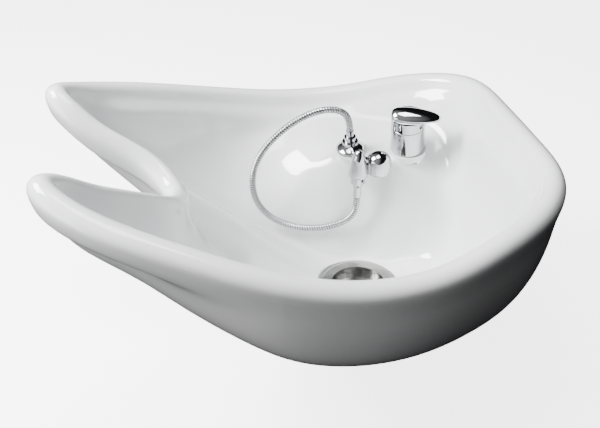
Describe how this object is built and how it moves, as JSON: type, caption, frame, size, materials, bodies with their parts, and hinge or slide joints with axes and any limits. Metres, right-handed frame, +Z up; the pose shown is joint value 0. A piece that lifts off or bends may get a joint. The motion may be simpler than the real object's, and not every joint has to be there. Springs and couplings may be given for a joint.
{
  "type": "salon backwash basin",
  "caption": "Glazed ceramic backwash basin with a neck notch, basket waste, lever mixer and a hand shower on a metal hose.",
  "frame": {"origin": "centre of the bracket bolt pattern on the underside, on the waste's axis", "axes": "+X from the neck notch to the back edge, +Z up, the tap deck on the +Y side"},
  "size_m": [0.6028, 0.5125, 0.3639],
  "materials": {
    "ceramic": "gloss white glaze",
    "brass": "turned brass",
    "steel": "polished stainless steel",
    "chrome": "polished chrome plate",
    "hose": "ribbed metal spiral",
    "rubber": "matt black rubber",
    "plastic": "moulded grey plastic",
    "index": "dark plug"
  },
  "bodies": {
    "root": {"basin": "ceramic", "mounting_inserts": "brass", "mixer_stud_nut": "brass", "outlet_backnut": "brass", "outlet_shank": "brass", "outlet_nipple": "brass", "waste_body": "steel", "mixer_stud": "steel", "mixer_washer": "steel", "outlet_washer": "steel", "mixer_body": "chrome", "outlet_dome": "chrome", "hose_outlet_nut": "chrome", "hose_outlet_ferrule": "chrome", "shower_holder": "chrome", "cartridge_nut": "chrome", "shower_hose": "hose", "waste_gasket": "rubber", "mixer_gasket": "rubber", "outlet_gasket": "rubber", "cartridge_body": "plastic", "waste_backnut": "plastic"},
    "lever_stem": {"cartridge_stem": "steel"},
    "lever": {"lever_cap": "chrome", "lever_blade": "chrome", "index_plug": "index"},
    "handset": {"handset_ferrule": "chrome", "handset_hose_nut": "chrome", "handset_body": "chrome", "handset_head": "chrome", "face_ring": "plastic", "spray_plate": "plastic"},
    "strainer": {"strainer_basket": "steel", "strainer_knob": "steel"}
  },
  "joints": [
    {"name": "lever_turn", "type": "hinge", "parent": "root", "child": "lever_stem", "pos_m": [0.09191, 0.10585, 0.18599], "axis": [-0.0886, -0.1494, 0.9848], "range_deg": [-45, 45]},
    {"name": "lever_lift", "type": "hinge", "parent": "lever_stem", "child": "lever", "pos_m": [0.06613, 0.1089, 0.22485], "axis": [-0.3669, -0.9143, -0.1717], "range_deg": [0, 18]},
    {"name": "handset_lift", "type": "slide", "parent": "root", "child": "handset", "axis": [0, 0, 1], "range_m": [0, 0.1]},
    {"name": "strainer_lift", "type": "slide", "parent": "root", "child": "strainer", "axis": [0, 0, 1], "range_m": [0, 0.06]}
  ]
}
